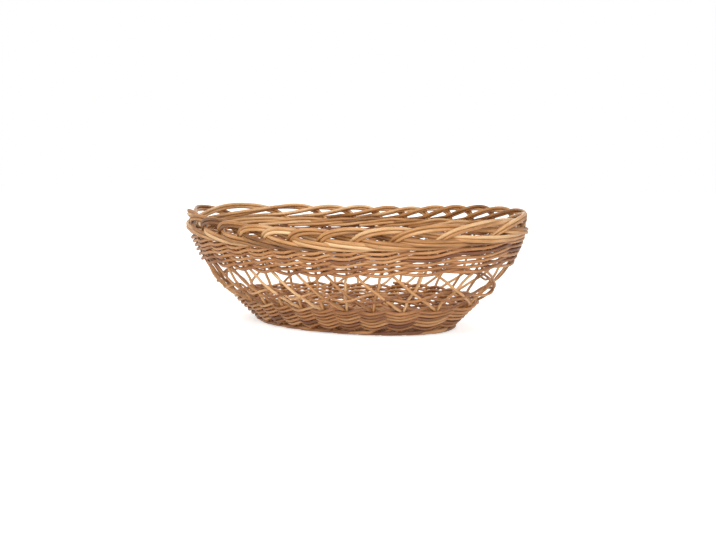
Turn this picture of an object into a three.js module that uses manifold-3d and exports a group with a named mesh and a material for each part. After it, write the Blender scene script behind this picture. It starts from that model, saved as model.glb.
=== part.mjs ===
// Oval open-work bread basket, woven from peeled willow rods round paired stakes.
// The cross sticks are slit and threaded on the long ones, the stakes are pushed in beside their ends,
// weavers bind the stakes, and a plait of three double rods closes the rim.
// +X is the long axis, +Z is up, and the origin is under the middle of the base.

import * as THREE from 'three';
import { mergeGeometries, mergeVertices } from 'three/addons/utils/BufferGeometryUtils.js';
import Module from 'manifold-3d';

const wasm = await Module();
wasm.setup();

// Driving dimensions in millimetres
const fitGap = 0.3;
const baseHalfLength = 105.5;
const baseHalfWidth = 67.5;
const lowerBandRun = 24.5;
const lowerBandRise = 23.5;
const middleRun = 20;
const middleRise = 18.5;
const latticeRun = 12.5;
const latticeRise = 21;
const upperBandRun = 8.5;
const upperBandRise = 21.5;
const borderLeanRun = 10;
const borderLeanRise = 20;
const endRise = 5;

const stickWidth = 4.6;
const stickHeight = 3.6;
const stickTipWidth = 2.6;
const slathHeight = 7.4;
const longStickSpacing = 5.2;
const crossStickSpacing = 11;

const stakeRodSize = 3.1;
const pairSpacing = 6;
const footLength = 19;
const tipInset = 5;

const weaverSize = 2.8;
const baseWeaverWidth = 4.8;
const baseWeaverThickness = 2.6;

const plaitHalfHeight = 8;
const plaitHalfDepth = 3.3;
const plaitRodDiameter = 3.3;

// Counts of pieces and turns
const longStickCount = 3;
const crossStickCount = 9;
const baseRoundsInside = 2;
const baseRoundsOutside = 4;
const lowerBandTurns = 4;
const middleTurns = 1;
const upperBandTurns = 2.5;
const plaitStrands = 3;

// Counts of straight steps along the curved rods
const edgeSamples = 720;
const latticeSteps = 8;
const middleStepsPerStake = 3;
const plaitStepsPerLength = 12;

// Shares: how strongly the stakes crowd on the long sides, where the first base round lies on the sticks,
// how much of a base round's stitch lies flat at each end, and how much faster a plait strand goes up
const sideCrowding = 0.7;
const firstRoundShare = 0.23;
const flatShare = 0.28;
const plaitSkew = 0.25;

// In stake spaces: how far each rod of a pair leans over the lattice, seen from outside,
// and how far ahead of a stake the plait's strand is at its lowest
const rightLean = 0.5;
const leftLean = -1.5;
const plaitLead = 0.38;

// Places that follow from the driving dimensions
const stakeCount = 2 * (longStickCount + crossStickCount);
const baseAmplitude = (stickHeight + baseWeaverThickness) / 2 + fitGap;
const baseCentreHeight = baseAmplitude + baseWeaverThickness / 2;
const bendAllowance = fitGap / 2;
const weaverPitch = weaverSize + fitGap + bendAllowance;
const slathHalfWidth = ((longStickCount - 1) * longStickSpacing + stickWidth) / 2 + fitGap;
const slathHalfLength = ((crossStickCount - 1) * crossStickSpacing + stickWidth) / 2;
const plaitStrandWidth = 2 * plaitRodDiameter + fitGap;
const crossingDepth = (stakeRodSize + weaverSize) / 2 + fitGap + bendAllowance;
const halfTurn = stakeCount / 2;

const palePeeled = { color: 0xc8955f, roughness: 0.5, metalness: 0 };
const warmPeeled = { color: 0xb97f4b, roughness: 0.55, metalness: 0 };
const brownPeeled = { color: 0x9d6a3d, roughness: 0.6, metalness: 0 };

// The wall's profile as runs outwards and rises, from the bend at the base's edge
const profile = [
  { run: 0, rise: 0 },
  { run: lowerBandRun, rise: lowerBandRise },
  { run: middleRun, rise: middleRise },
  { run: latticeRun, rise: latticeRise },
  { run: upperBandRun, rise: upperBandRise },
  { run: borderLeanRun, rise: borderLeanRise },
];
const stations = [0];
for (const leg of profile.slice(1)) stations.push(stations.at(-1) + Math.hypot(leg.run, leg.rise));
const [wallFoot, splitStation, latticeFoot, upperFoot, upperTop] = stations;
const wallHeight = profile.reduce((sum, { rise }) => sum + rise, 0);
const rimHalfWidth = profile.reduce((sum, { run }) => sum + run, baseHalfWidth);

// The base's edge is an ellipse; shares of its way round carry the stakes, closer on the long sides
const edgeLengths = [0];
for (let i = 1; i <= edgeSamples; i++) {
  const [a, b] = [i - 1, i].map((j) => (j / edgeSamples) * 2 * Math.PI);
  const chord = Math.hypot(
    baseHalfLength * (Math.cos(b) - Math.cos(a)),
    baseHalfWidth * (Math.sin(b) - Math.sin(a)),
  );
  edgeLengths.push(edgeLengths.at(-1) + chord);
}
const edgeShares = edgeLengths.map((length, i) => {
  const lengthShare = length / edgeLengths.at(-1);
  return lengthShare + sideCrowding * (lengthShare - i / edgeSamples);
});

function edgeAngle(share) {
  const turns = Math.floor(share);
  const want = share - turns;
  let i = 1;
  while (edgeShares[i] < want) i++;
  const part = (want - edgeShares[i - 1]) / (edgeShares[i] - edgeShares[i - 1]);
  return ((i - 1 + part) / edgeSamples + turns) * 2 * Math.PI;
}

// A place on the stakes' middle surface: share goes round anticlockwise, station goes up the wall.
// The wall rises a little from the sides' middles to the ends, most of it near the rim
function wallPlace(share, station) {
  const angle = edgeAngle(share);
  const outward = new THREE.Vector3(Math.cos(angle) / baseHalfLength, Math.sin(angle) / baseHalfWidth, 0);
  outward.normalize();
  const along = new THREE.Vector3(-outward.y, outward.x, 0);
  let leg = 1;
  while (leg < profile.length - 1 && station > stations[leg]) leg++;
  let run = 0;
  let rise = 0;
  for (let i = 1; i < leg; i++) {
    run += profile[i].run;
    rise += profile[i].rise;
  }
  const length = stations[leg] - stations[leg - 1];
  const slope = [profile[leg].run / length, profile[leg].rise / length];
  run += slope[0] * (station - stations[leg - 1]);
  rise += slope[1] * (station - stations[leg - 1]);
  const point = new THREE.Vector3(baseHalfLength * Math.cos(angle), baseHalfWidth * Math.sin(angle), 0);
  point.addScaledVector(outward, run);
  point.z = baseCentreHeight + rise + (endRise / 2) * Math.cos(2 * angle) * (rise / wallHeight) ** 2;
  const up = outward.clone().multiplyScalar(slope[0]).setZ(slope[1]);
  const out = outward.clone().multiplyScalar(slope[1]).setZ(-slope[0]);
  return { point, along, up, out };
}

// Outline of a rod's section, as pairs of distances along its guide and across it
const flatSection = (guideWidth, otherWidth) => [
  [guideWidth / 2, otherWidth / 2],
  [-guideWidth / 2, otherWidth / 2],
  [-guideWidth / 2, -otherWidth / 2],
  [guideWidth / 2, -otherWidth / 2],
];
const doubleRodSection = (width, diameter) => [
  [width / 2, 0],
  [(width - diameter) / 2, diameter / 2],
  [-(width - diameter) / 2, diameter / 2],
  [-width / 2, 0],
  [-(width - diameter) / 2, -diameter / 2],
  [(width - diameter) / 2, -diameter / 2],
];

// Section outlines along a path; each point has a guide direction, and may set its own section or tangent
function sectionRings(path, section, closed) {
  return path.map(({ point, guide, own, tangent }, i) => {
    const heading = tangent ?? headingAt(path, i, closed);
    const first = squareTo(heading, guide);
    const second = heading.clone().cross(first);
    const corner = ([g, o]) => point.clone().addScaledVector(first, g).addScaledVector(second, o);
    return (own ?? section).map(corner);
  });
}

function headingAt(path, i, closed) {
  const before = path[closed ? (i - 1 + path.length) % path.length : Math.max(i - 1, 0)].point;
  const after = path[closed ? (i + 1) % path.length : Math.min(i + 1, path.length - 1)].point;
  const arriving = path[i].point.clone().sub(before).normalize();
  return arriving.add(after.clone().sub(path[i].point).normalize()).normalize();
}

const squareTo = (heading, guide) => guide.clone().addScaledVector(heading, -guide.dot(heading)).normalize();

// The skin over section outlines; leftOut says which side of which span stays open
function skin(rings, closed, leftOut = () => false) {
  const sides = rings[0].length;
  const index = [];
  const spans = closed ? rings.length : rings.length - 1;
  for (let i = 0; i < spans; i++) {
    const here = i * sides;
    const next = ((i + 1) % rings.length) * sides;
    for (let j = 0; j < sides; j++) {
      const k = (j + 1) % sides;
      if (!leftOut(i, j)) index.push(here + j, here + k, next + k, here + j, next + k, next + j);
    }
  }
  if (!closed) {
    const last = (rings.length - 1) * sides;
    for (let j = 1; j < sides - 1; j++) index.push(0, j + 1, j, last, last + j, last + j + 1);
  }
  const geometry = new THREE.BufferGeometry();
  const positions = rings.flat().flatMap((p) => [p.x, p.y, p.z]);
  geometry.setAttribute('position', new THREE.Float32BufferAttribute(positions, 3));
  geometry.setIndex(index);
  return geometry;
}

const sweep = (path, section, closed = false) => skin(sectionRings(path, section, closed), closed);

function solid(geometry) {
  const bare = geometry.clone();
  bare.deleteAttribute('normal');
  bare.deleteAttribute('uv');
  const merged = mergeVertices(bare);
  const vertProperties = merged.attributes.position.array;
  const triVerts = new Uint32Array(merged.index.array);
  return new wasm.Manifold(new wasm.Mesh({ numProp: 3, vertProperties, triVerts }));
}

function geometryOf(body) {
  const mesh = body.getMesh();
  const geometry = new THREE.BufferGeometry();
  geometry.setAttribute('position', new THREE.BufferAttribute(mesh.vertProperties, 3));
  geometry.setIndex(new THREE.BufferAttribute(mesh.triVerts, 1));
  return geometry;
}

const basket = new THREE.Group();
basket.name = 'oval_willow_basket';

function addPiece(name, geometry, finish) {
  geometry.computeVertexNormals();
  const piece = new THREE.Mesh(geometry, new THREE.MeshStandardMaterial(finish));
  piece.name = name;
  basket.add(piece);
}

const zUp = new THREE.Vector3(0, 0, 1);
const twoDigits = (number) => String(number).padStart(2, '0');

// The inner end of a base spoke, where its stick leaves the slit middle
function spokeRoot(spoke) {
  const k = ((spoke % stakeCount) + stakeCount) % stakeCount;
  const nearLongEnd = Math.min(k, stakeCount - k) <= (longStickCount - 1) / 2;
  const nearFarEnd = Math.abs(k - halfTurn) <= (longStickCount - 1) / 2;
  const endX = slathHalfLength + stickWidth / 2;
  if (nearLongEnd) {
    const offset = k > halfTurn ? k - stakeCount : k;
    return new THREE.Vector3(endX, offset * longStickSpacing, baseCentreHeight);
  }
  if (nearFarEnd) return new THREE.Vector3(-endX, (halfTurn - k) * longStickSpacing, baseCentreHeight);
  const side = k < halfTurn ? 1 : -1;
  const step = side > 0 ? k - (longStickCount + 1) / 2 : stakeCount - k - (longStickCount + 1) / 2;
  const x = ((crossStickCount - 1) / 2 - step) * crossStickSpacing;
  return new THREE.Vector3(x, side * (slathHalfWidth + stickWidth / 2), baseCentreHeight);
}

const spokeTip = (spoke) => wallPlace(spoke / stakeCount, wallFoot).point;
const spokePoint = (spoke, share) => spokeRoot(spoke).lerp(spokeTip(spoke), share);
const spokeLength = (spoke) => spokeRoot(spoke).distanceTo(spokeTip(spoke));
const shareFromTip = (spoke, distance) => 1 - distance / spokeLength(spoke);

// Base sticks: each one runs between two spokes' ends and thins to a point between the stake rods
function addStick(name, firstSpoke, lastSpoke, middlePoints, middleHeight) {
  const tip = flatSection(stickHeight, stickTipWidth);
  const shank = flatSection(stickHeight, stickWidth);
  const middle = flatSection(middleHeight, stickWidth);
  const thinFrom = (spoke) => shareFromTip(spoke, footLength + stickWidth);
  const thinTo = (spoke) => shareFromTip(spoke, footLength + fitGap);
  const path = [
    { point: spokePoint(firstSpoke, shareFromTip(firstSpoke, tipInset)), own: tip },
    { point: spokePoint(firstSpoke, thinTo(firstSpoke)), own: tip },
    { point: spokePoint(firstSpoke, thinFrom(firstSpoke)), own: shank },
    { point: spokeRoot(firstSpoke), own: shank },
    ...middlePoints.map((point) => ({ point, own: middle })),
    { point: spokeRoot(lastSpoke), own: shank },
    { point: spokePoint(lastSpoke, thinFrom(lastSpoke)), own: shank },
    { point: spokePoint(lastSpoke, thinTo(lastSpoke)), own: tip },
    { point: spokePoint(lastSpoke, shareFromTip(lastSpoke, tipInset)), own: tip },
  ];
  for (const place of path) place.guide = zUp;
  return { name, geometry: sweep(path, shank) };
}

const longMiddle = (longStickCount - 1) / 2;
for (let i = 0; i < longStickCount; i++) {
  const offset = i - longMiddle;
  const first = (offset + stakeCount) % stakeCount;
  const last = halfTurn - offset;
  const stick = addStick(`base_long_stick_${i + 1}`, first, last, [], stickHeight);
  addPiece(stick.name, stick.geometry, brownPeeled);
}

// The slit that the long sticks pass through
const slitWidth = 2 * slathHalfWidth;
const slitHeight = stickHeight + 2 * fitGap;
const slitCutter = new THREE.BoxGeometry(2 * slathHalfLength + stickWidth, slitWidth, slitHeight);
slitCutter.translate(0, 0, baseCentreHeight);
const slit = solid(slitCutter);
for (let i = 0; i < crossStickCount; i++) {
  const first = longMiddle + 1 + i;
  const last = stakeCount - first;
  const x = ((crossStickCount - 1) / 2 - i) * crossStickSpacing;
  const middle = [slathHalfWidth, -slathHalfWidth].map((y) => new THREE.Vector3(x, y, baseCentreHeight));
  const stick = addStick(`base_cross_stick_${i + 1}`, first, last, middle, slathHeight);
  addPiece(stick.name, geometryOf(solid(stick.geometry).subtract(slit)), brownPeeled);
}

// A round of base weaving passes over one spoke and under the next, lying flat over a share of the way
function addBaseRound(name, share, sideOf) {
  const path = [];
  for (let k = 0; k < stakeCount; k++) {
    const next = (k + 1) % stakeCount;
    for (const [part, spoke] of [[flatShare, k], [1 - flatShare, next]]) {
      const point = spokePoint(k, share).lerp(spokePoint(next, share), part);
      const guide = spokeTip(k).lerp(spokeTip(next), part).sub(point).setZ(0).normalize();
      point.z += sideOf(spoke) * baseAmplitude;
      path.push({ point, guide });
    }
  }
  path.forEach((place, i) => (place.tangent = headingAt(path, i, true).setZ(0).normalize()));
  addPiece(name, sweep(path, flatSection(baseWeaverWidth, baseWeaverThickness), true), warmPeeled);
}

const alternate = (k) => (k % 2 ? -1 : 1);
// Near the slit middle the ends of the long sticks are bound together as one spoke
function groupedSide(k) {
  if (k <= longMiddle || stakeCount - k <= longMiddle) return 1;
  if (Math.abs(k - halfTurn) <= longMiddle) return alternate(crossStickCount + 1);
  return k < halfTurn ? alternate(k - longMiddle) : alternate(k - 3 * longMiddle);
}
const shortestSpoke = Math.min(...Array.from({ length: stakeCount }, (_, k) => spokeLength(k)));
const baseRounds = baseRoundsInside + baseRoundsOutside;
const lastRoundShare = 1 - (baseWeaverWidth / 2 + weaverSize + stakeRodSize) / shortestSpoke;
for (let i = 0; i < baseRounds; i++) {
  const share = firstRoundShare + ((lastRoundShare - firstRoundShare) * i) / (baseRounds - 1);
  const flip = i % 2 ? -1 : 1;
  const side = i < baseRoundsInside ? groupedSide : alternate;
  addBaseRound(`base_round_${i + 1}`, share, (k) => flip * side(k));
}

// Stakes: two rods pressed into one up the lower band; their feet grip a stick's tip between them.
// Above the band they part: seen from outside the right one leans right, and the left one
// leans left and crosses outside its neighbours, so that each rod ends in a new pair
const footOffset = (stickTipWidth + stakeRodSize) / 2 + fitGap;

// A stake reaches up beside the plait's strand, which has risen a little from its lowest point there.
// The rim's rise to the ends tilts the strand over a pair's width
const topPlaces = [];
for (let k = 0; k <= stakeCount; k++) topPlaces.push(wallPlace(k / stakeCount, upperTop).point);
const closestStakes = Math.min(...topPlaces.slice(1).map((point, k) => point.distanceTo(topPlaces[k])));
const pairWidth = pairSpacing + stakeRodSize;
const leadAtRod = plaitLead - pairWidth / 2 / closestStakes;
const strandRise = plaitHalfHeight * (1 - Math.cos((2 * Math.PI * leadAtRod) / plaitStrands));
const tiltAllowance = (endRise / rimHalfWidth) * pairWidth + bendAllowance;
const stakeTop = upperTop + strandRise + plaitRodDiameter / 2 - tiltAllowance;

function stakePlace(spoke, direction, station) {
  const climb = THREE.MathUtils.clamp((station - splitStation) / (upperFoot - splitStation), 0, 1);
  const lean = direction > 0 ? rightLean : leftLean;
  const place = wallPlace((spoke + lean * climb) / stakeCount, station);
  const aside = direction * THREE.MathUtils.lerp(stakeRodSize / 2, -pairSpacing / 2, climb);
  const spread = Math.min(1, climb * latticeSteps, 2 * (1 - climb));
  place.point.addScaledVector(place.along, aside);
  place.point.addScaledVector(place.out, -direction * spread * crossingDepth);
  return { point: place.point, guide: place.along };
}

function footPlace(spoke, direction, distance) {
  const guide = wallPlace(spoke / stakeCount, wallFoot).along;
  const point = spokePoint(spoke, shareFromTip(spoke, distance));
  return { point: point.addScaledVector(guide, direction * footOffset), guide };
}

function stakePath(spoke, direction) {
  const foot = [footLength, tipInset - fitGap].map((distance) => footPlace(spoke, direction, distance));
  const lowerBand = [wallFoot, splitStation].map((station) => stakePlace(spoke, direction, station));
  const lattice = Array.from({ length: latticeSteps }, (_, i) => {
    const station = THREE.MathUtils.lerp(splitStation, upperFoot, (i + 1) / latticeSteps);
    return stakePlace(spoke, direction, station);
  });
  const upperBand = [upperTop, stakeTop].map((station) => stakePlace(spoke, direction, station));
  return [...foot, ...lowerBand, ...lattice, ...upperBand];
}

// The two rods share a face between the foot and the split, the third and fourth points of their paths
const bandStart = 2;
const bandEnd = 3;
const leftSide = 1;
const rightSide = 3;
function stakePair(spoke) {
  const directions = [1, -1];
  const paths = directions.map((direction) => stakePath(spoke, direction));
  const middlePath = paths[0].map(({ point }, i) => ({ point: point.clone().lerp(paths[1][i].point, 0.5) }));
  for (const i of [bandStart, bandEnd]) {
    const tangent = headingAt(middlePath, i, false);
    const guide = squareTo(tangent, paths[0][i].guide);
    paths.forEach((path, half) => {
      const point = middlePath[i].point.clone();
      point.addScaledVector(guide, (directions[half] * stakeRodSize) / 2);
      path[i] = { point, guide, tangent };
    });
  }
  const section = flatSection(stakeRodSize, stakeRodSize);
  const halves = paths.map((path, half) => {
    const innerSide = directions[half] > 0 ? leftSide : rightSide;
    const leftOut = (span, side) => span === bandStart && side === innerSide;
    return skin(sectionRings(path, section, false), false, leftOut);
  });
  return mergeVertices(mergeGeometries(halves));
}

for (let k = 0; k < stakeCount; k++) addPiece(`stake_pair_${twoDigits(k + 1)}`, stakePair(k), palePeeled);

// Half the width that a pair of rods takes up at a station, seen from outside; pairs stand at whole
// numbers of stake spaces below the lattice, and half a space further on above it
function pairHalfWidth(spoke, station) {
  const centre = wallPlace(spoke / stakeCount, station).point;
  const above = spoke % 1 !== 0;
  const right = stakePlace(above ? spoke - rightLean : spoke, 1, station);
  const left = stakePlace(above ? spoke - leftLean : spoke, -1, station);
  const reach = Math.max(...[right, left].map(({ point }) => point.distanceTo(centre)));
  return reach + stakeRodSize / 2;
}

// How far a straight stretch of weaver must stand off here, to clear the pair on its way to the next one
function standOff(here, there, station) {
  const need = (stakeRodSize + weaverSize) / 2 + fitGap + bendAllowance;
  const [low, high] = [here, there].map((spoke) => wallPlace(spoke / stakeCount, station));
  const part = pairHalfWidth(here, station) / low.point.distanceTo(high.point);
  const edge = wallPlace(THREE.MathUtils.lerp(here, there, part) / stakeCount, station);
  const chordMiss = low.point.clone().lerp(high.point, part).sub(edge.point).dot(edge.out);
  const gain = (1 - part) * low.out.dot(edge.out) - part * high.out.dot(edge.out);
  return (need + Math.abs(chordMiss)) / gain;
}

// A weaver climbs the wall in a spiral, in front of one pair of rods and behind the next
const climbPerTurn = 2 * weaverPitch;
function wovenPath(shift, station, turns, startSide) {
  return Array.from({ length: turns * stakeCount + 1 }, (_, step) => {
    const spoke = step + shift;
    const height = station + (climbPerTurn * step) / stakeCount;
    const place = wallPlace(spoke / stakeCount, height);
    const off = Math.max(standOff(spoke, spoke + 1, height), standOff(spoke, spoke - 1, height));
    const side = startSide * alternate(step);
    return { point: place.point.addScaledVector(place.out, side * off), guide: place.up };
  });
}

// A weaver of the middle rounds is held between the rods that cross outside it and inside it
function heldPath(station, turns) {
  const steps = turns * stakeCount * middleStepsPerStake;
  return Array.from({ length: steps + 1 }, (_, step) => {
    const share = step / (stakeCount * middleStepsPerStake);
    const place = wallPlace(share, station + climbPerTurn * share);
    return { point: place.point, guide: place.up };
  });
}

// Two weavers chase each other up each band
function addBand(name, pathAt) {
  const section = flatSection(weaverSize, weaverSize);
  addPiece(`${name}_weaver_1`, sweep(pathAt(0, 1), section), warmPeeled);
  addPiece(`${name}_weaver_2`, sweep(pathAt(weaverPitch, -1), section), warmPeeled);
}

const lowerBandStart = weaverPitch + 2 * fitGap;
const middleStart = (splitStation + latticeFoot) / 2;
const upperBandStart = upperTop - weaverSize / 2 - fitGap - (2 * upperBandTurns + 1) * weaverPitch;
addBand('lower', (lift, side) => wovenPath(0, lowerBandStart + lift, lowerBandTurns, side));
addBand('middle', (lift) => heldPath(middleStart + lift, middleTurns));
addBand('upper', (lift, side) => wovenPath(rightLean, upperBandStart + lift, upperBandTurns, side));

// Border: a flat plait of double rods; each strand comes out over the middle twice in three stake spaces
const plaitStation = upperTop + fitGap + plaitStrandWidth / 2 + plaitHalfHeight;
const plaitLengths = stakeCount / plaitStrands;
const plaitSteps = plaitLengths * plaitStepsPerLength;
for (let strand = 0; strand < plaitStrands; strand++) {
  const lowest = (strand + rightLean - plaitLead) / stakeCount;
  const path = Array.from({ length: plaitSteps }, (_, i) => {
    const swing = (2 * Math.PI * i) / plaitStepsPerLength - Math.PI / 2;
    const phase = swing + Math.PI / 2 - plaitSkew * (Math.sin(swing) + 1);
    const place = wallPlace(lowest + phase / (2 * Math.PI * plaitLengths), plaitStation);
    place.point.addScaledVector(place.up, plaitHalfHeight * Math.sin(swing));
    place.point.addScaledVector(place.out, plaitHalfDepth * Math.sin(2 * swing));
    return { point: place.point, guide: place.up };
  });
  const section = doubleRodSection(plaitStrandWidth, plaitRodDiameter);
  addPiece(`border_strand_${strand + 1}`, sweep(path, section, true), palePeeled);
}

export default basket;
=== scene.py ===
"""Oval open-work bread basket of peeled willow, dressed for a studio picture.

Every rod of the basket is laid along its own path: the base sticks and the weaving round them, the stakes
that are pushed in beside the sticks and bent up, the twisted weaving of the wall, and the plaited border.
Paths are worked out in millimetres, and the meshes are made in metres.
"""

import bisect
import itertools
import logging
import math
import random
from collections.abc import Callable, Sequence
from dataclasses import dataclass, field
from enum import Enum

import bmesh
import bpy
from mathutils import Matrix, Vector, noise


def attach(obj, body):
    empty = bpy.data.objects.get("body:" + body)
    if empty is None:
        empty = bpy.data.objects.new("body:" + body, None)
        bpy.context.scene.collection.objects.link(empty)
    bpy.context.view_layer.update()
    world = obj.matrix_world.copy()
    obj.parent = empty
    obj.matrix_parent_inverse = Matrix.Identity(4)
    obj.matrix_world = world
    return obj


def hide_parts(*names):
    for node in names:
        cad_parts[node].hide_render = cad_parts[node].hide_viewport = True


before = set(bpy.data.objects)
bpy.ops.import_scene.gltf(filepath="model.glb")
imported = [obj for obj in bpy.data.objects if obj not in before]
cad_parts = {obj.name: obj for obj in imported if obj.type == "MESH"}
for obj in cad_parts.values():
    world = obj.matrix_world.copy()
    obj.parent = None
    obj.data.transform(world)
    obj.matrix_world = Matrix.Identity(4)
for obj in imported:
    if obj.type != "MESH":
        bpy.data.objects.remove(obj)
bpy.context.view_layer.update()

log = logging.getLogger("basket")

METRES_PER_MM = 0.001
FULL_TURN = 2 * math.pi
STAKE_COUNT = 24
TONE_RANGE = (0.05, 0.95)
LANE_GAP = 7.3
NOISE_LAYER = 0.5
WHITE = (1, 1, 1, 1)
Z_UP = Vector((0, 0, 1))


def linear_colour(hex_code: str) -> tuple[float, float, float, float]:
    """Turns a display colour into the linear one that shaders want.

    Args:
        hex_code: six hex digits of an sRGB colour.

    Returns:
        Red, green, blue and a full alpha.
    """
    parts = [int(hex_code[i : i + 2], 16) / 255 for i in (0, 2, 4)]
    linear = [p / 12.92 if p <= 0.04045 else ((p + 0.055) / 1.055) ** 2.4 for p in parts]
    return (*linear, 1.0)


def clamp(value: float, low: float, high: float) -> float:
    """Keeps a value between two others."""
    return max(low, min(high, value))


def blend_values(a: float, b: float, part: float) -> float:
    """The value that lies a part of the way from a to b."""
    return a + (b - a) * part


def square_off(wave: float, sharpness: float) -> float:
    """Bends a wave between -1 and 1 so that it lingers near its ends."""
    return math.tanh(sharpness * wave) / math.tanh(sharpness)


def wander(position: float, lane: float, amount: float) -> float:
    """A slow, smooth and repeatable waver, at a position in waves. Each lane has one of its own."""
    return 2 * amount * noise.noise(Vector((position, LANE_GAP * lane, NOISE_LAYER)))


def new_object(name: str, data: bpy.types.ID) -> bpy.types.Object:
    """Puts a new object in the scene, at its origin.

    Args:
        name: the object's name.
        data: its mesh, lamp or lens.

    Returns:
        The new object.
    """
    thing = bpy.data.objects.new(name, data)
    bpy.context.scene.collection.objects.link(thing)
    return thing


@dataclass(frozen=True)
class Place:
    """A point of the basket's skin, with the directions along it, up it and out of it."""

    point: Vector
    along: Vector
    up: Vector
    out: Vector

    def moved(self, aside: float = 0, rise: float = 0, depth: float = 0) -> Vector:
        """The point moved by so many millimetres along, up and out."""
        return self.point + self.along * aside + self.up * rise + self.out * depth


@dataclass(frozen=True)
class WallLeg:
    """A stretch of the wall's profile: how far it runs out and how far it rises."""

    run: float
    rise: float

    @property
    def length(self) -> float:
        """The length of the stretch along its slope."""
        return math.hypot(self.run, self.rise)


@dataclass
class WallShape:
    """The middle surface of the stakes, by stake spaces round the basket and stations up its slope."""

    base_half_length: float = 105.5
    base_half_width: float = 67.5
    base_height: float = 4.7
    lower_band: WallLeg = WallLeg(24.5, 23.5)
    middle: WallLeg = WallLeg(20, 18.5)
    lattice: WallLeg = WallLeg(12.5, 21)
    upper_band: WallLeg = WallLeg(9.5, 21.5)
    border_lean: WallLeg = WallLeg(0.5, 20)
    end_rise: float = 5
    back_lift: float = 2.6
    corner_lift: float = 2.4
    bend_length: float = 11
    stake_count: int = STAKE_COUNT
    side_crowding: float = 0.7
    edge_samples: int = 720
    edge_shares: list[float] = field(default_factory=list, repr=False)

    def __post_init__(self) -> None:
        """Works out which share of the stakes lies before each angle of the base's edge."""
        samples = self.edge_samples
        lengths = lengths_along([self.edge_point(FULL_TURN * i / samples) for i in range(samples + 1)])
        for i, length in enumerate(lengths):
            share = length / lengths[-1]
            self.edge_shares.append(share + self.side_crowding * (share - i / samples))

    @property
    def legs(self) -> tuple[WallLeg, ...]:
        """The profile's stretches from the base's edge to the rim."""
        return (self.lower_band, self.middle, self.lattice, self.upper_band, self.border_lean)

    @property
    def height(self) -> float:
        """The profile's whole rise."""
        return sum(leg.rise for leg in self.legs)

    @property
    def split_station(self) -> float:
        """Where the two rods of a pair part."""
        return self.lower_band.length

    @property
    def upper_foot(self) -> float:
        """Where the upper band starts."""
        return self.split_station + self.middle.length + self.lattice.length

    def edge_angle(self, spaces: float) -> float:
        """The angle on the base's edge at a number of stake spaces.

        Args:
            spaces: stake spaces anticlockwise from the +X end.

        Returns:
            The angle of the edge's oval, in radians.
        """
        turns, share = divmod(spaces / self.stake_count, 1)
        i = clamp(bisect.bisect_left(self.edge_shares, share), 1, self.edge_samples)
        low, high = self.edge_shares[i - 1], self.edge_shares[i]
        return FULL_TURN * ((i - 1 + (share - low) / (high - low)) / self.edge_samples + turns)

    def edge_point(self, angle: float) -> Vector:
        """The point of the base's edge at an angle, at height 0."""
        return Vector((self.base_half_length * math.cos(angle), self.base_half_width * math.sin(angle), 0))

    def rim_lift(self, angle: float) -> float:
        """How much higher than level the rim is here: more at the ends, and a little askew by hand."""
        to_ends = self.end_rise / 2 * math.cos(2 * angle)
        return to_ends + self.back_lift * math.sin(angle) + self.corner_lift * math.sin(2 * angle)

    def corner_profile(self, station: float) -> tuple[float, float]:
        """The profile with sharp bends.

        Args:
            station: millimetres up the slope.

        Returns:
            How far out and how far up the wall is there.
        """
        run = rise = 0.0
        if station < 0:
            return station, 0.0
        for leg in self.legs:
            part = station / leg.length
            if leg is not self.border_lean:
                part = min(part, 1)
            run += leg.run * part
            rise += leg.rise * part
            station -= leg.length
            if station <= 0:
                break
        return run, rise

    def profile(self, station: float) -> tuple[Vector, Vector]:
        """The profile with rounded bends.

        Args:
            station: millimetres up the slope.

        Returns:
            The run and rise there, and the slope's direction.
        """
        steps = 6
        stations = [station + self.bend_length * (i / steps - 0.5) for i in range(steps + 1)]
        spots = [Vector(self.corner_profile(near)) for near in stations]
        middle = sum(spots[1:-1], (spots[0] + spots[-1]) / 2) / steps
        return middle, (spots[-1] - spots[0]).normalized()

    def place(self, spaces: float, station: float) -> Place:
        """A place on the wall.

        Args:
            spaces: stake spaces anticlockwise from the +X end.
            station: millimetres up the slope.

        Returns:
            The point and its directions.
        """
        angle = self.edge_angle(spaces)
        edge = self.edge_point(angle)
        outward = Vector((edge.x / self.base_half_length**2, edge.y / self.base_half_width**2, 0))
        outward.normalize()
        spot, slope = self.profile(station)
        lift = self.rim_lift(angle) * (max(spot.y, 0) / self.height) ** 2
        point = edge + outward * spot.x + Z_UP * (self.base_height + spot.y + lift)
        along = Vector((-outward.y, outward.x, 0))
        return Place(point, along, outward * slope.x + Z_UP * slope.y, outward * slope.y - Z_UP * slope.x)


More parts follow.
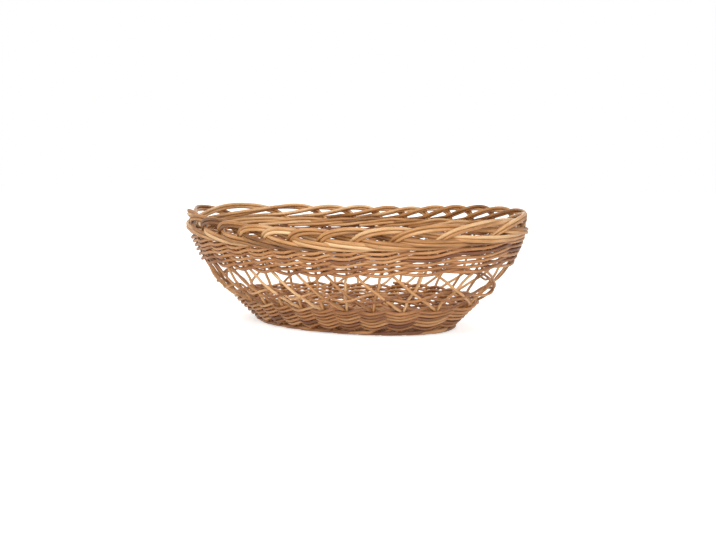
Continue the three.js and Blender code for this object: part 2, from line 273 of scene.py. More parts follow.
@dataclass
class BaseShape:
    """The flat base: where each of the spokes that carry the stakes runs."""

    wall: WallShape
    stick_width: float = 4.6
    long_stick_spacing: float = 5.2
    cross_stick_spacing: float = 11
    long_sticks: int = 3
    cross_sticks: int = 9
    clearance: float = 0.3

    def cross_stick_x(self, number: int) -> float:
        """Where a cross stick lies along the base, counted from the +X end."""
        return ((self.cross_sticks - 1) / 2 - number) * self.cross_stick_spacing

    def root(self, spoke: int) -> Vector:
        """The inner end of a spoke, where its stick leaves the slit middle.

        Args:
            spoke: the spoke's number, anticlockwise from the +X end.

        Returns:
            The point, at the height of the sticks.
        """
        count = self.wall.stake_count
        half = count // 2
        k = spoke % count
        reach = (self.long_sticks - 1) // 2
        end_x = self.cross_stick_x(0) + self.stick_width
        if min(k, count - k) <= reach:
            offset = k - count if k > half else k
            return Vector((end_x, offset * self.long_stick_spacing, self.wall.base_height))
        if abs(k - half) <= reach:
            return Vector((-end_x, (half - k) * self.long_stick_spacing, self.wall.base_height))
        side = 1 if k < half else -1
        number = (k if side > 0 else count - k) - reach - 1
        y = side * (reach * self.long_stick_spacing + self.stick_width + self.clearance)
        return Vector((self.cross_stick_x(number), y, self.wall.base_height))

    def tip(self, spoke: int) -> Vector:
        """The outer end of a spoke, on the base's edge."""
        return self.wall.edge_point(self.wall.edge_angle(spoke)) + Z_UP * self.wall.base_height

    def spoke_point(self, spoke: int, from_tip: float) -> Vector:
        """The point of a spoke that lies so many millimetres in from its tip."""
        tip = self.tip(spoke)
        return tip + (self.root(spoke) - tip).normalized() * from_tip

    def ring_point(self, spaces: float, share: float) -> Vector:
        """A point of a ring round the spokes.

        Args:
            spaces: stake spaces from the +X end.
            share: how far from the spokes' roots to their tips.

        Returns:
            The point.
        """
        first = math.floor(spaces)
        corners = [self.root(k).lerp(self.tip(k), share) for k in range(first - 1, first + 3)]
        return spline_point(corners, spaces - first)

    def place(self, spaces: float, share: float) -> Place:
        """A place on the base. Its out points down, which is the base's outer side.

        Args:
            spaces: stake spaces from the +X end.
            share: how far from the spokes' roots to their tips.

        Returns:
            The point and its directions.
        """
        point = self.ring_point(spaces, share)
        step = 0.05
        along = self.ring_point(spaces + step, share) - self.ring_point(spaces - step, share)
        along.normalize()
        return Place(point, along, along.cross(Z_UP), -Z_UP)


def spline_point(corners: Sequence[Vector], part: float) -> Vector:
    """A point of the smooth curve between the middle two of four points.

    Args:
        corners: four points that the curve passes.
        part: how far between the second and the third.

    Returns:
        The point.
    """
    a, b, c, d = corners
    square, cube = part * part, part * part * part
    return 0.5 * (
        2 * b
        + (c - a) * part
        + (2 * a - 5 * b + 4 * c - d) * square
        + (3 * b - 3 * c + d - a) * cube
    )


def stretches(keys: Sequence[Vector]) -> list[list[Vector]]:
    """The four points that steer each stretch of a smooth curve through the given ones."""
    ends = [2 * keys[0] - keys[1], *keys, 2 * keys[-1] - keys[-2]]
    return [ends[i : i + 4] for i in range(len(keys) - 1)]


def lengths_along(points: Sequence[Vector]) -> list[float]:
    """The length of a path up to each of its points."""
    steps = [(after - before).length for before, after in zip(points, points[1:])]
    return list(itertools.accumulate(steps, initial=0.0))


def heading(points: Sequence[Vector], i: int) -> Vector:
    """The direction of a path at the point with this number."""
    return (points[min(i + 1, len(points) - 1)] - points[max(i - 1, 0)]).normalized()


def smooth_through(keys: Sequence[Vector], step: float) -> list[Vector]:
    """A smooth row of points through the given ones.

    Args:
        keys: the points to pass through.
        step: about the distance between two points of the row.

    Returns:
        The row of points, both ends included.
    """
    row = []
    for corners in stretches(keys):
        count = max(1, round((corners[2] - corners[1]).length / step))
        row += [spline_point(corners, j / count) for j in range(count)]
    return [*row, keys[-1].copy()]


@dataclass
class Rod:
    """One willow rod: where it runs, how thick it is and how its bark side has coloured."""

    points: list[Vector]
    guides: list[Vector]
    diameter: float
    tone: float
    tip_share: float = 1.0
    flatness: float = 1.0

    def radius(self, part: float) -> float:
        """The radius a part of the way along."""
        return self.diameter * blend_values(1, self.tip_share, part) / 2


class RodPiece:
    """A named piece of the basket, made of rods that are gathered in one mesh."""

    BEVEL_MM = 0.35
    BEVEL_SHARE = 0.1
    GRAIN_OFFSET_MM = 977
    WELD_METRES = 1e-7

    def __init__(self, name: str, sides: int = 10) -> None:
        """Starts an empty piece.

        Args:
            name: the piece's name.
            sides: how many faces go round a rod.
        """
        self.name = name
        self.sides = sides
        self.mesh = bmesh.new()
        self.tones = self.mesh.verts.layers.float.new("tone")
        self.grain = self.mesh.loops.layers.uv.new("Grain")
        self.rod_count = 0

    def add(self, rod: Rod) -> None:
        """Rolls a grid round a rod's path, joins its seam and closes its cut ends.

        Args:
            rod: the rod to add.
        """
        first, last = rod.points[0], rod.points[-1]
        after_first = first.lerp(rod.points[1], self.BEVEL_SHARE)
        before_last = last.lerp(rod.points[-2], self.BEVEL_SHARE)
        points = [first, after_first, *rod.points[1:-1], before_last, last]
        guides = [rod.guides[0], *rod.guides, rod.guides[-1]]
        count = len(points)
        made = bmesh.ops.create_grid(self.mesh, x_segments=count - 1, y_segments=self.sides, size=0.5)
        verts = made["verts"]
        lengths = lengths_along(points)
        where = {}
        for i, (point, guide) in enumerate(zip(points, guides)):
            ahead = heading(points, i)
            upward = (guide - ahead * guide.dot(ahead)).normalized()
            sideways = ahead.cross(upward)
            radius = rod.radius(lengths[i] / lengths[-1])
            if i in (0, count - 1):
                radius -= self.BEVEL_MM
            for j in range(self.sides + 1):
                turn = FULL_TURN * j / self.sides
                vert = verts[j * count + i]
                lifted = point + upward * (radius * rod.flatness * math.cos(turn))
                vert.co = (lifted - sideways * (radius * math.sin(turn))) * METRES_PER_MM
                vert[self.tones] = rod.tone
                where[vert] = (lengths[i] + self.GRAIN_OFFSET_MM * rod.tone, j / self.sides)
        for face in {face for vert in verts for face in vert.link_faces}:
            face.smooth = True
            for loop in face.loops:
                loop[self.grain].uv = where[loop.vert]
        seam = [verts[j * count + i] for i in range(count) for j in (0, self.sides)]
        bmesh.ops.remove_doubles(self.mesh, verts=seam, dist=self.WELD_METRES)
        rims = {edge for vert in verts if vert.is_valid for edge in vert.link_edges if edge.is_boundary}
        bmesh.ops.holes_fill(self.mesh, edges=list(rims), sides=0)
        self.rod_count += 1

    def finish(self, finish: "PeeledWillow", slot: str, nodes: Sequence[str]) -> None:
        """Makes the piece's object and sets it in place of the plain solids.

        Args:
            finish: the willow it is made of.
            slot: the name of the material slot it belongs to; it is not used.
            nodes: the plain solids that it stands for.
        """
        data = bpy.data.meshes.new(self.name)
        self.mesh.to_mesh(data)
        self.mesh.free()
        data.materials.append(finish.material())
        piece = new_object(self.name, data)
        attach(piece, "root")
        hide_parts(*nodes)
        log.info("%s: %d rods, %d faces", self.name, self.rod_count, len(data.polygons))


class NodeSheet:
    """The node tree of a material or a world, with one way to add a node to it."""

    def __init__(self, owner: bpy.types.Material | bpy.types.World) -> None:
        """Empties the owner's tree.

        Args:
            owner: the material or world.
        """
        owner.use_nodes = True
        self.tree = owner.node_tree
        self.tree.nodes.clear()

    def add(
        self, kind: str, *inputs: object, named: dict | None = None, **settings: object
    ) -> bpy.types.Node:
        """Adds a node with its settings and links.

        Args:
            kind: the node's type name, without the ShaderNode that all start with.
            inputs: for the first inputs in turn, a value, or the socket that feeds it.
            named: the same for inputs by their names.
            settings: the node's own properties.

        Returns:
            The new node.
        """
        node = self.tree.nodes.new(f"ShaderNode{kind}")
        for key, value in settings.items():
            setattr(node, key, value)
        for key, value in [*enumerate(inputs), *(named or {}).items()]:
            if isinstance(value, bpy.types.NodeSocket):
                self.tree.links.new(value, node.inputs[key])
            else:
                node.inputs[key].default_value = value
        return node

    def shown_rays(self) -> bpy.types.NodeSocket:
        """A value of 1 for rays from the camera, off gloss and through glass.

        Returns:
            The socket that holds the value. It is 0 for all other rays.
        """
        path = self.add("LightPath")
        kinds = ("Camera", "Glossy", "Transmission")
        camera, gloss, through = [path.outputs[f"Is {kind} Ray"] for kind in kinds]
        either = self.add("Math", camera, gloss, operation="MAXIMUM").outputs[0]
        return self.add("Math", either, through, operation="MAXIMUM").outputs[0]


@dataclass(frozen=True)
class PeeledWillow:
    """Buff willow: boiled in its bark and peeled, so it is tan and silky, with fine grain and bud scars."""

    name: str
    shadow: str
    middle: str
    light: str
    roughness: float = 0.47
    roughness_below: float = 0.06
    roughness_above: float = 0.1
    refraction: float = 1.5
    rod_radius_mm: float = 1.4
    grain_mm: tuple[float, float] = (22, 0.77)
    grain_span: tuple[float, float] = (0.3, 0.7)
    grain_share: float = 0.5
    blotch_mm: tuple[float, float] = (26, 4)
    blotch_share: float = 0.85
    tone_share: float = 0.75
    darkening: float = 0.35
    stops: tuple[float, float, float] = (0.05, 0.45, 0.95)
    scar_spacing_mm: float = 47
    scar_width_mm: float = 1.1
    scar_jitter: float = 2.4
    scar_span: tuple[float, float] = (-0.2, 0.7)
    scar_back: float = 0.25
    scar_share: float = 0.22
    scar_height: float = 1.5
    bump_mm: float = 0.12
    bump_strength: float = 0.6

    def material(self) -> bpy.types.Material:
        """The willow's material, made once.

        Returns:
            The material.
        """
        known = bpy.data.materials.get(self.name)
        if known:
            return known
        willow = bpy.data.materials.new(self.name)
        add = NodeSheet(willow).add

        # The Grain map runs in millimetres along a rod and once round it. Here it becomes a seamless skin
        split = add("SeparateXYZ", add("UVMap", uv_map="Grain").outputs[0])
        along, round_share = split.outputs[0], split.outputs[1]
        turn = add("Math", round_share, FULL_TURN, operation="MULTIPLY").outputs[0]
        sine = add("Math", turn, operation="SINE").outputs[0]
        cosine = add("Math", turn, operation="COSINE").outputs[0]
        skin = add("CombineXYZ", along, sine, cosine).outputs[0]

        # Grain and blotches have a length and a width. Real grain is finer, and is drawn wider to show
        patterns = []
        for (length, width), detail in ((self.grain_mm, 3.0), (self.blotch_mm, 2.0)):
            across = self.rod_radius_mm / width
            scale = (1 / length, across, across)
            spot = add("VectorMath", skin, scale, operation="MULTIPLY").outputs[0]
            noise_inputs = {"Vector": spot, "Scale": 1.0, "Detail": detail}
            patterns.append(add("TexNoise", named=noise_inputs).outputs[0])
        grain, blotch = patterns
        tone = add("Attribute", attribute_name="tone").outputs["Fac"]

        # Bud scars: a short dark ring, mostly on one side of the rod, about every five centimetres
        jitter = add("Math", blotch, self.scar_jitter, operation="MULTIPLY").outputs[0]
        beat = add("Math", along, 1 / self.scar_spacing_mm, jitter, operation="MULTIPLY_ADD").outputs[0]
        beat_part = add("Math", beat, operation="FRACT").outputs[0]
        off = add("Math", beat_part, 0.5, operation="SUBTRACT").outputs[0]
        off = add("Math", off, operation="ABSOLUTE").outputs[0]
        ring = add("MapRange", off, 0.0, self.scar_width_mm / self.scar_spacing_mm, 1.0, 0.0).outputs[0]
        side = add("MapRange", sine, *self.scar_span, self.scar_back, 1.0).outputs[0]
        scar = add("Math", ring, side, operation="MULTIPLY").outputs[0]

        # The colour goes from dark to light with the rod's tone, its blotches and its grain; scars darken it
        mixed = -self.grain_share / 2 - self.darkening
        layers = ((grain, self.grain_share), (blotch, self.blotch_share), (tone, self.tone_share))
        for layer, share in (*layers, (scar, -self.scar_share)):
            mixed = add("Math", layer, share, mixed, operation="MULTIPLY_ADD").outputs[0]
        ramp = add("ValToRGB", mixed)
        stops = ramp.color_ramp.elements
        low, half, high = self.stops
        stops[0].position, stops[0].color = low, linear_colour(self.shadow)
        stops[1].position, stops[1].color = high, linear_colour(self.light)
        stops.new(half).color = linear_colour(self.middle)

        # Relief and gloss: scars stand up a little, and the grain's darker lines are smoother
        height = add("Math", scar, self.scar_height, grain, operation="MULTIPLY_ADD").outputs[0]
        depth = self.bump_mm * METRES_PER_MM
        bump = add("Bump", named={"Strength": self.bump_strength, "Distance": depth, "Height": height})
        smooth, rough = self.roughness - self.roughness_below, self.roughness + self.roughness_above
        dull = add("MapRange", grain, *self.grain_span, smooth, rough)
        links = {"Base Color": ramp.outputs[0], "Roughness": dull.outputs[0], "Normal": bump.outputs[0]}
        shader = add("BsdfPrincipled", named={**links, "IOR": self.refraction})
        add("OutputMaterial", shader.outputs[0])
        return willow


WEAVER_WILLOW = PeeledWillow("buff_willow_weavers", "6a3c20", "af7848", "d6aa79")
STAKE_WILLOW = PeeledWillow("buff_willow_stakes", "80522c", "c8935e", "e8c496")
BORDER_WILLOW = PeeledWillow("buff_willow_border", "6c4320", "bc8854", "e4c194")
STICK_WILLOW = PeeledWillow("buff_willow_sticks", "6e4424", "a97546", "cfa06c", roughness=0.55)


class Twist(Enum):
    """How many rods chase each other round a weave."""

    PAIRING = 2
    WALING = 3


def every_space(spaces: float) -> float:
    """The beat of a weave that takes each stake by itself."""
    return spaces


@dataclass
class Weave:
    """Rods that twist round the stakes: each comes in front of a stake or two, then goes behind one.

    A rod swings out and in by depth and up and down by lift. With more lag the rods part where they cross.
    """

    ground: Callable[[float, float], Place]
    start: float
    climb: float
    rounds: float
    diameter: float
    depth: float
    lift: float
    twist: Twist = Twist.PAIRING
    lag: float = 0.35
    first_space: float = 0.0
    waver: float = 0.5
    steps: int = 12
    shortest: int = 9
    longest: int = 17
    tone: float = 0.5
    seed: int = 1
    beat: Callable[[float], float] = every_space
    stake_count: int = STAKE_COUNT
    tail: float = 0.28
    sharpness: float = 0.8
    tone_spread: float = 0.17
    wale_gain: float = 1.5
    wale_shift: float = 0.5
    short_waves: float = 0.31
    long_waves: float = 0.12
    round_lane: float = 0.37
    butt_shares: tuple[float, float] = (0.93, 1.06)
    tip_shares: tuple[float, float] = (0.84, 0.97)
    tuck: float = 0.8

    def point(self, spaces: float, number: int) -> tuple[Vector, Vector]:
        """Where a rod runs.

        Args:
            spaces: stake spaces from the weave's start.
            number: which of the rods.

        Returns:
            The point, and the direction out of the basket there.
        """
        period = self.twist.value
        phase = FULL_TURN * (self.beat(spaces) - number) / period
        if self.twist is Twist.PAIRING:
            front = math.cos(phase)
        else:
            front = clamp(self.wale_gain * (math.cos(phase) + self.wale_shift), -1, 1)
            front = math.sin(front * math.pi / 2)
        rise = self.lift * square_off(math.sin(phase - self.lag), self.sharpness)
        lane = self.seed + number + self.round_lane * math.floor(spaces / self.stake_count)
        rise += wander(spaces * self.short_waves, lane, self.waver)
        rise += wander(spaces * self.long_waves, self.seed, self.waver)
        station = self.start + self.climb * spaces / self.stake_count
        place = self.ground(self.first_space + spaces, station)
        return place.moved(rise=rise, depth=self.depth * front), place.out

    def weave_into(self, piece: RodPiece) -> None:
        """Lays the rods, one after the other; each starts and ends behind a stake.

        Args:
            piece: the piece that takes the rods.
        """
        rng = random.Random(self.seed)
        last = round(self.rounds * self.stake_count)
        period = self.twist.value
        for number in range(period):
            begin = 0
            while begin < last:
                length = rng.randint(self.shortest, self.longest)
                end = min(last, begin + length)
                while end < last and (round(self.beat(end)) - number) % period != period // 2:
                    end += 1
                if last - end < self.shortest:
                    end = last
                piece.add(self.rod(number, begin, end, rng))
                begin = end

    def rod(self, number: int, begin: int, end: int, rng: random.Random) -> Rod:
        """One length of rod between two stakes.

        Args:
            number: which of the rods in the twist.
            begin: the stake space that it starts at.
            end: the stake space that it ends at.
            rng: what draws its tone and thickness.

        Returns:
            The rod.
        """
        low, high = begin - self.tail, end + self.tail
        count = round((high - low) * self.steps)
        diameter = self.diameter * rng.uniform(*self.butt_shares)
        points, guides = [], []
        for i in range(count + 1):
            spaces = low + (high - low) * i / count
            point, guide = self.point(spaces, number)
            overlap = max(begin - spaces, spaces - end, 0) / self.tail
            points.append(point - guide * (overlap * diameter * self.tuck))
            guides.append(guide)
        tone = clamp(rng.gauss(self.tone, self.tone_spread), *TONE_RANGE)
        return Rod(points, guides, diameter, tone, tip_share=rng.uniform(*self.tip_shares))


@dataclass
class BaseSticks:
    """Three long sticks that pass through nine slit cross sticks."""

    base: BaseShape
    thickness: float = 3.6
    slath_thickness: float = 7.4
    tip_inset: float = 5
    half_offset_share: float = 0.22
    half_thickness_share: float = 1.25
    bow_places: tuple[float, ...] = (0.1, 0.3, 0.5, 0.7, 0.9)
    long_tones: tuple[float, float] = (0.35, 0.6)
    cross_tones: tuple[float, float] = (0.3, 0.6)
    seed: int = 11
    sides: int = 12
    step: float = 3

    def outline(self, spoke: int) -> list[Vector]:
        """The stretch of a stick from its root to its tip.

        Args:
            spoke: the spoke's number.

        Returns:
            The points along the stretch's middle.
        """
        root = self.base.root(spoke)
        tip = self.base.spoke_point(spoke, self.tip_inset)
        return smooth_through([root, root.lerp(tip, 0.5), tip], self.step)

    def build(self) -> None:
        """Builds the long sticks and the cross sticks."""
        wall = self.base.wall
        reach = (self.base.long_sticks - 1) // 2
        rng = random.Random(self.seed)
        for i in range(self.base.long_sticks):
            piece = RodPiece(f"long_stick_{i + 1}", self.sides)
            offset = i - reach
            first, last = self.outline(offset), self.outline(wall.stake_count // 2 - offset)
            points = [*reversed(first), *last]
            piece.add(self.stick(points, self.thickness, rng.uniform(*self.long_tones)))
            piece.finish(STICK_WILLOW, "base_sticks", [f"base_long_stick_{i + 1}"])
        for i in range(self.base.cross_sticks):
            piece = RodPiece(f"cross_stick_{i + 1}", self.sides)
            spoke = reach + 1 + i
            first, last = self.outline(spoke), self.outline(wall.stake_count - spoke)
            tone = rng.uniform(*self.cross_tones)
            piece.add(self.half_stick(first, last, 1, tone))
            piece.add(self.half_stick(first, last, -1, tone))
            piece.finish(STICK_WILLOW, "base_sticks", [f"base_cross_stick_{i + 1}"])

    def stick(self, points: list[Vector], thickness: float, tone: float) -> Rod:
        """A stick of the usual width along a row of points."""
        width = self.base.stick_width
        return Rod(points, [Z_UP] * len(points), width, tone, flatness=thickness / width)

    def half_stick(self, first: list[Vector], last: list[Vector], side: int, tone: float) -> Rod:
        """One half of a slit stick: it parts from the other over the long sticks.

        Args:
            first: the stick's stretch on the +Y side, from the slit out.
            last: the same on the other side.
            side: 1 for the upper half, -1 for the lower.
            tone: the stick's colour.

        Returns:
            The half stick.
        """
        half = self.slath_thickness / 2
        thin = (self.slath_thickness - self.thickness) / 2
        middle = [first[0].lerp(last[0], part) for part in self.bow_places]
        bowed = [point + Z_UP * side * (half - thin / 2) for point in middle]
        offset = Z_UP * side * self.thickness * self.half_offset_share
        inner = [point + offset for point in (*reversed(first), *last)]
        points = [*inner[: len(first)], *bowed, *inner[len(first) :]]
        return self.stick(points, thin * self.half_thickness_share, tone)


@dataclass
class BaseWeaving:
    """Rounds of pairing that bind the spokes of the base."""

    base: BaseShape
    diameter: float = 2.5
    depth: float = 3.25
    lift: float = 1.35
    first_share: float = 0.1
    round_share: float = 0.0985
    grouped_rounds: int = 2
    open_rounds: float = 7.25
    grouped_size: float = 0.9
    grouped_lift: float = 0.8

    def grouped_beat(self, spaces: float) -> float:
        """Counts the spokes that a round passes where the long sticks' ends count as one spoke each side.

        Args:
            spaces: stake spaces from the +X end.

        Returns:
            The count, which grows evenly from spoke to spoke.
        """
        half = self.base.wall.stake_count / 2
        turns, part = divmod(spaces, half)
        group = self.base.long_sticks
        edge = group / 2
        spokes_per_half = half - group + 1
        if part < edge:
            local = part / group
        elif part > half - edge:
            local = spokes_per_half - (half - part) / group
        else:
            local = 0.5 + (part - edge)
        return turns * spokes_per_half + local

    def build(self) -> None:
        """Builds the rounds near the slit middle and the ones further out."""
        inner = Weave(
            self.base.place, start=self.first_share, climb=self.round_share, rounds=self.grouped_rounds,
            diameter=self.diameter * self.grouped_size, depth=self.depth, waver=0.15, steps=10,
            lift=self.lift * self.grouped_lift, beat=self.grouped_beat, seed=21,
        )
        outer = Weave(
            self.base.place, start=self.first_share + self.round_share * self.grouped_rounds,
            climb=self.round_share, rounds=self.open_rounds, diameter=self.diameter, depth=self.depth,
            lift=self.lift, waver=0.2, steps=8, seed=22,
        )
        shares = {"base_centre_weave": (inner, (1, 2)), "base_weave": (outer, (3, 4, 5, 6))}
        for name, (weave, rounds) in shares.items():
            piece = RodPiece(name)
            weave.weave_into(piece)
            piece.finish(WEAVER_WILLOW, "weavers", [f"base_round_{i}" for i in rounds])


class Side(Enum):
    """The rods of a stake pair, as seen from outside."""

    RIGHT = 1
    LEFT = -1


@dataclass
class Stakes:
    """Pairs of uprights: their feet grip a base stick's tip, and above the lower band they lean apart."""

    wall: WallShape
    base: BaseShape
    diameter: float = 2.85
    pair_spacing: float = 6
    stick_tip_width: float = 2.6
    foot_insets: tuple[float, ...] = (19, 12, 6)
    band_stations: tuple[float, ...] = (1, 7, 15, 24, 32)
    lattice_keys: int = 9
    upper_stations: tuple[float, ...] = (94, 101, 108.5)
    right_lean: float = 0.5
    left_lean: float = -1.5
    crossing_depth: float = 1.75
    parting_rate: float = 8
    meeting_rate: float = 3
    guide_drop: float = 60
    top_share: float = 0.82
    step: float = 2.7
    untidiness: float = 0.9
    shift_seed: int = 500
    middle_tone: float = 0.5
    tone_spread: float = 0.22
    tone_seed: int = 1550

    def draws(self, seed: int, spoke: int, side: Side) -> random.Random:
        """What makes the random draws of one stake rod."""
        return random.Random(seed + spoke % self.wall.stake_count * len(Side) + (side is Side.LEFT))

    def tone(self, spoke: int, side: Side) -> float:
        """The colour of a stake rod, which its border strand shares."""
        rng = self.draws(self.tone_seed, spoke, side)
        return clamp(rng.gauss(self.middle_tone, self.tone_spread), *TONE_RANGE)

    def keys(self, spoke: int, side: Side) -> list[Vector]:
        """The points that a stake rod passes.

        Args:
            spoke: the number of its stake pair.
            side: which rod of the pair.

        Returns:
            The points from its foot to the border.
        """
        rng = self.draws(self.shift_seed, spoke, side)
        aside = side.value * (self.stick_tip_width + self.diameter) / 2
        along = self.wall.place(spoke, 0).along
        feet = [self.base.spoke_point(spoke, inset) + along * aside for inset in self.foot_insets]
        rows = [self.wall_key(spoke, side, station) for station in self.band_stations]
        for i in range(1, self.lattice_keys + 1):
            station = blend_values(self.wall.split_station, self.wall.upper_foot, i / self.lattice_keys)
            loose = self.untidiness if i < self.lattice_keys else 0
            shift = rng.uniform(-loose, loose)
            rows.append(self.wall_key(spoke, side, station, shift))
        rows += [self.wall_key(spoke, side, station) for station in self.upper_stations]
        return [*feet, *rows]

    def wall_key(self, spoke: int, side: Side, station: float, shift: float = 0) -> Vector:
        """A point of a stake rod on the wall.

        Args:
            spoke: the number of its stake pair.
            side: which rod of the pair.
            station: millimetres up the slope.
            shift: how far it strays along the wall.

        Returns:
            The point.
        """
        wall = self.wall
        climb = clamp((station - wall.split_station) / (wall.upper_foot - wall.split_station), 0, 1)
        lean = self.right_lean if side is Side.RIGHT else self.left_lean
        place = wall.place(spoke + lean * climb, station)
        aside = side.value * blend_values(self.diameter / 2, -self.pair_spacing / 2, climb)
        spread = min(1, climb * self.parting_rate, (1 - climb) * self.meeting_rate)
        return place.moved(aside=aside + shift, depth=-side.value * spread * self.crossing_depth)

    def build(self) -> None:
        """Builds the stake pairs."""
        for k in range(self.wall.stake_count):
            piece = RodPiece(f"stakes_{k + 1:02d}")
            for side in Side:
                points = smooth_through(self.keys(k, side), self.step)
                guides = [Vector((point.x, point.y, -self.guide_drop)).normalized() for point in points]
                piece.add(Rod(points, guides, self.diameter, self.tone(k, side), self.top_share))
            piece.finish(STAKE_WILLOW, "stakes", [f"stake_pair_{k + 1:02d}"])


@dataclass
class Border:
    """The plait: each pair of stake ends turns down to the right and runs under and over the next ones.

    A key of a strand holds the stake spaces run, the height from the plait's middle and the depth.
    """

    wall: WallShape
    stakes: Stakes
    diameter: float = 3.3
    spacing: float = 3.3
    middle_station: float = 120.5
    upper_shift: float = 0.5
    inside_turn: float = math.radians(68)
    turn_span: tuple[float, float] = (0.7, 2.65)
    turn_ramps: tuple[float, float] = (0.6, 0.4)
    open_angle: float = math.radians(75)
    open_gain: float = 2.2
    waver: float = 0.8
    depth_waver: float = 0.3
    waves_per_space: float = 0.8
    calm_spaces: float = 0.5
    lane_step: float = 1.7
    depth_lane: float = 0.5
    tail_seed: int = 900
    longest_trim: int = 5
    closing_keys: int = 3
    strand_groups: int = 3
    samples_per_key: int = 6
    sides: int = 12
    keys: tuple[tuple[float, float, float], ...] = (
        (0.0, -17, 0.0), (0.02, -12.5, -0.9), (0.07, -7.5, -1.6), (0.16, -2.8, 0.0),
        (0.27, 1.0, 2.5), (0.42, 4.4, 3.9), (0.67, 7.1, 4.0), (1.0, 8.2, 2.4),
        (1.33, 7.2, -0.9), (1.64, 4.6, -2.9), (1.93, 2.2, -3.2), (2.2, 0.0, -1.4),
        (2.44, -2.0, 2.4), (2.7, -3.6, 4.8), (3.0, -5.1, 5.2), (3.35, -6.5, 4.0),
        (3.7, -7.5, 2.4), (4.1, -8.1, 1.8), (4.45, -8.2, 0.8), (4.75, -7.8, -1.4),
        (4.95, -7.2, -3.4), (5.25, -6.4, -5.0), (5.6, -6.4, -5.7), (5.95, -7.8, -5.9),
        (6.3, -9.8, -5.7), (6.75, -11.0, -5.0), (7.15, -11.3, -3.8),
    )

    def edge_turn(self, spoke: int, spaces: float) -> float:
        """How far a strand's two rods are turned on edge.

        At the back they lie one behind the other where they run inside, which leaves slits between strands.

        Args:
            spoke: the number of the upper stake pair.
            spaces: stake spaces that the strand has run.

        Returns:
            The turn in radians.
        """
        rise = clamp((spaces - self.turn_span[0]) / self.turn_ramps[0], 0, 1)
        fall = clamp((self.turn_span[1] - spaces) / self.turn_ramps[1], 0, 1)
        angle = self.wall.edge_angle(spoke + self.upper_shift + spaces)
        at_back = clamp(0.5 + self.open_gain * math.cos(angle - self.open_angle), 0, 1)
        return self.inside_turn * min(rise, fall, at_back)

    def centre_line(self, spoke: int) -> list[tuple[float, Vector, Vector]]:
        """The middle of a strand.

        Args:
            spoke: the number of the upper stake pair.

        Returns:
            For each point the spaces run, the place and the way out of the basket.
        """
        samples = self.samples_per_key
        line = []
        for corners in stretches([Vector(key) for key in self.keys]):
            line += [spline_point(corners, j / samples) for j in range(samples)]
        line = line[: len(line) - random.Random(self.tail_seed + spoke).randint(0, self.longest_trim)]
        places = []
        lane = spoke * self.lane_step
        for spaces, height, depth in line:
            waver = self.waver * clamp(spaces / self.calm_spaces, 0, 1)
            rise = height + wander(spaces * self.waves_per_space, lane, waver)
            place = self.wall.place(spoke + self.upper_shift + spaces, self.middle_station + rise)
            depth += wander(spaces, lane + self.depth_lane, self.depth_waver)
            places.append((spaces, place.moved(depth=depth), place.out))
        return places

    def strand(self, spoke: int, side: Side) -> Rod:
        """One rod of a strand.

        Args:
            spoke: the number of the upper stake pair.
            side: the left rod of the pair becomes the upper one.

        Returns:
            The rod.
        """
        line = self.centre_line(spoke)
        middles = [point for _, point, _ in line]
        points, guides = [], []
        for i, (spaces, point, out) in enumerate(line):
            left = out.cross(heading(middles, i)).normalized()
            turn = self.edge_turn(spoke, spaces)
            apart = left * math.cos(turn) - out * math.sin(turn)
            part = clamp(i / (self.closing_keys * self.samples_per_key), 0, 1)
            half = blend_values(self.stakes.pair_spacing, self.spacing, part) / 2
            points.append(point - apart * (side.value * half))
            guides.append(out)
        partner = spoke + round(self.stakes.right_lean - self.stakes.left_lean)
        owner = (spoke, Side.RIGHT) if side is Side.LEFT else (partner, Side.LEFT)
        return Rod(points, guides, self.diameter, self.stakes.tone(*owner))

    def build(self) -> None:
        """Builds the strands, every third one in the same piece."""
        for group in range(self.strand_groups):
            piece = RodPiece(f"border_{group + 1}", self.sides)
            for spoke in range(group, self.wall.stake_count, self.strand_groups):
                for side in Side:
                    piece.add(self.strand(spoke, side))
            piece.finish(BORDER_WILLOW, "border", [f"border_strand_{group + 1}"])


@dataclass(frozen=True)
class RowGroup:
    """Rounds of the upper band with one spacing; with more lag a pair's rods part and close the slits."""

    rounds: int
    pitch: float
    lag: float


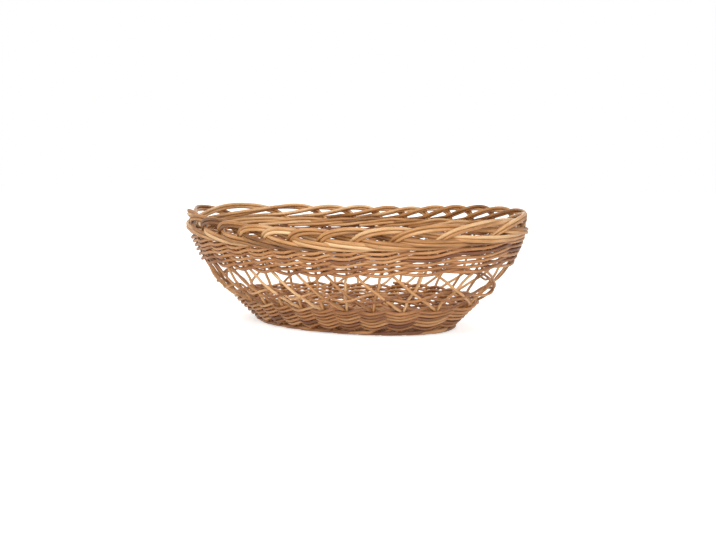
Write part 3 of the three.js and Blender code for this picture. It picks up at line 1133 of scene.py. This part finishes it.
@dataclass
class WallWeaving:
    """The bands of weaving that hold the stakes."""

    wall: WallShape
    foot_diameter: float = 3.4
    lower_diameter: float = 2.9
    lower_pitch: float = 4.95
    lower_rounds: float = 6
    middle_diameter: float = 2.5
    middle_station: float = 53
    middle_back_lift: float = 8.5
    back_angle: float = math.radians(115)
    back_gain: float = 1.6
    back_level: float = 0.3
    upper_diameter: float = 3.1
    upper_start: float = 81.8
    upper_rows: tuple[RowGroup, ...] = (
        RowGroup(1, 4.6, 0.4),
        RowGroup(2, 5.4, 0.16),
        RowGroup(3, 4.2, 0.6),
    )
    seam: float = 6
    middle_seam: float = 6.2
    upper_seam: float = 6.5

    def middle_place(self, spaces: float, station: float) -> Place:
        """A place on the wall for the loose middle round, which rides higher up the back."""
        at_back = self.back_level + self.back_gain * math.cos(self.wall.edge_angle(spaces) - self.back_angle)
        return self.wall.place(spaces, station + self.middle_back_lift * clamp(at_back, 0, 1))

    def upper_weaves(self) -> list[Weave]:
        """The upper band, as one spiral whose spacing changes from round to round.

        Returns:
            The weaves, from the lattice up.
        """
        weaves = []
        station = self.upper_start
        for number, rows in enumerate(self.upper_rows):
            weave = Weave(
                self.wall.place, start=station, climb=rows.pitch, rounds=rows.rounds,
                diameter=self.upper_diameter, depth=2.8, lift=1.5, lag=rows.lag, sharpness=1.6, waver=0.3,
                first_space=self.upper_seam, seed=51 + number, tone=0.45, tone_spread=0.21,
            )
            weaves.append(weave)
            station += rows.pitch * rows.rounds
        return weaves

    def build(self) -> None:
        """Builds the bands: waling and pairing at the foot, a loose round, and pairing below the border."""
        foot = Weave(
            self.wall.place, twist=Twist.WALING, start=0.3, climb=1.2, rounds=1, seed=30, tone=0.38,
            diameter=self.foot_diameter, depth=3.5, lift=1.3, first_space=self.seam, waver=0.1,
        )
        rows = Weave(
            self.wall.place, start=4.9, climb=self.lower_pitch, rounds=self.lower_rounds,
            diameter=self.lower_diameter, depth=3.0, lift=1.15, first_space=self.seam, waver=0.22,
            seed=31, tone=0.43, tone_spread=0.31,
        )
        loose = Weave(
            self.middle_place, start=self.middle_station, climb=0.5, rounds=1,
            diameter=self.middle_diameter, depth=3.7, lift=1.3, first_space=self.middle_seam,
            waver=0.9, seed=41,
        )
        bands = {"lower": [foot, rows], "middle": [loose], "upper": self.upper_weaves()}
        for band, weaves in bands.items():
            piece = RodPiece(f"{band}_weaving")
            for weave in weaves:
                weave.weave_into(piece)
            piece.finish(WEAVER_WILLOW, "weavers", [f"{band}_weaver_1", f"{band}_weaver_2"])


@dataclass(frozen=True)
class PaleFloor:
    """Matt white paper: it keeps a soft shadow, and the camera sees it as white elsewhere."""

    colour: str = "f4f3f1"
    lift: float = 0.6

    def material(self) -> bpy.types.Material:
        """The paper's material.

        Returns:
            The material.
        """
        paper = bpy.data.materials.new("white_paper")
        sheet = NodeSheet(paper)
        matt = sheet.add("BsdfDiffuse", linear_colour(self.colour)).outputs[0]
        glow = sheet.add("Emission", WHITE, self.lift).outputs[0]
        seen = sheet.add("AddShader", matt, glow).outputs[0]
        mixed = sheet.add("MixShader", sheet.shown_rays(), matt, seen).outputs[0]
        sheet.add("OutputMaterial", mixed)
        return paper


@dataclass(frozen=True)
class Softbox:
    """A square studio lamp that points at the basket."""

    name: str
    place: tuple[float, float, float]
    size: float
    power: float
    colour: str = "ffffff"


@dataclass
class Studio:
    """The pale floor, the soft light and the camera at the picture's angle."""

    camera_place: tuple[float, float, float] = (0.6306, -0.9711, 0.1824)
    target: tuple[float, float, float] = (0, 0, 0.0535)
    lens: float = 58.6
    sensor: float = 36
    shift_x: float = 0.0071
    floor_size: float = 6
    ambient: float = 0.44
    lamps: tuple[Softbox, ...] = (
        Softbox("key_light", (0.6, -2.9, 2.7), 1.5, 74, "fffaf2"),
        Softbox("front_light", (1.7, -2.8, 0.9), 1.4, 28, "fffaf2"),
        Softbox("fill_light", (3.0, -0.8, 1.7), 2.4, 30),
        Softbox("back_light", (-1.0, 1.5, 1.3), 1.4, 12),
    )

    def stand(self, name: str, data: bpy.types.ID, place: Sequence[float]) -> bpy.types.Object:
        """Stands a lamp or the camera in its place and turns it towards the basket.

        Args:
            name: its name.
            data: the lamp or lens.
            place: where it stands, in metres.

        Returns:
            The new object.
        """
        thing = new_object(name, data)
        thing.location = place
        heading = Vector(self.target) - thing.location
        thing.rotation_euler = heading.to_track_quat("-Z", "Y").to_euler()
        return thing

    def build(self) -> None:
        """Builds the camera, the lamps, the world and the floor."""
        scene = bpy.context.scene
        scene.view_settings.view_transform = "Standard"
        lens = bpy.data.cameras.new("camera")
        lens.lens, lens.sensor_width, lens.shift_x = self.lens, self.sensor, self.shift_x
        scene.camera = self.stand("camera", lens, self.camera_place)
        for lamp in self.lamps:
            light = bpy.data.lights.new(lamp.name, "AREA")
            light.size, light.energy, light.color = lamp.size, lamp.power, linear_colour(lamp.colour)[:3]
            self.stand(lamp.name, light, lamp.place)
        self.build_world()
        self.build_floor()

    def build_world(self) -> None:
        """Makes a white surround for the camera and for gloss, and an even light for the rest."""
        world = bpy.data.worlds.new("white_surround")
        sheet = NodeSheet(world)
        level = sheet.add("MapRange", sheet.shown_rays(), 0.0, 1.0, self.ambient).outputs[0]
        surround = sheet.add("Background", WHITE, level).outputs[0]
        sheet.add("OutputWorld", surround)
        bpy.context.scene.world = world

    def build_floor(self) -> None:
        """Lays a wide sheet of pale paper under the basket."""
        sheet = bmesh.new()
        bmesh.ops.create_grid(sheet, x_segments=1, y_segments=1, size=self.floor_size / 2)
        data = bpy.data.meshes.new("floor")
        sheet.to_mesh(data)
        sheet.free()
        data.materials.append(PaleFloor().material())
        floor = new_object("floor", data)


def main() -> None:
    """Builds the studio and the basket, piece by piece."""
    logging.basicConfig(level=logging.INFO, format="%(message)s")
    Studio().build()
    wall = WallShape()
    base = BaseShape(wall)
    stakes = Stakes(wall, base)
    for part in (BaseSticks(base), BaseWeaving(base), stakes, WallWeaving(wall), Border(wall, stakes)):
        log.info("building %s", type(part).__name__)
        part.build()


if __name__ == "__main__":
    main()
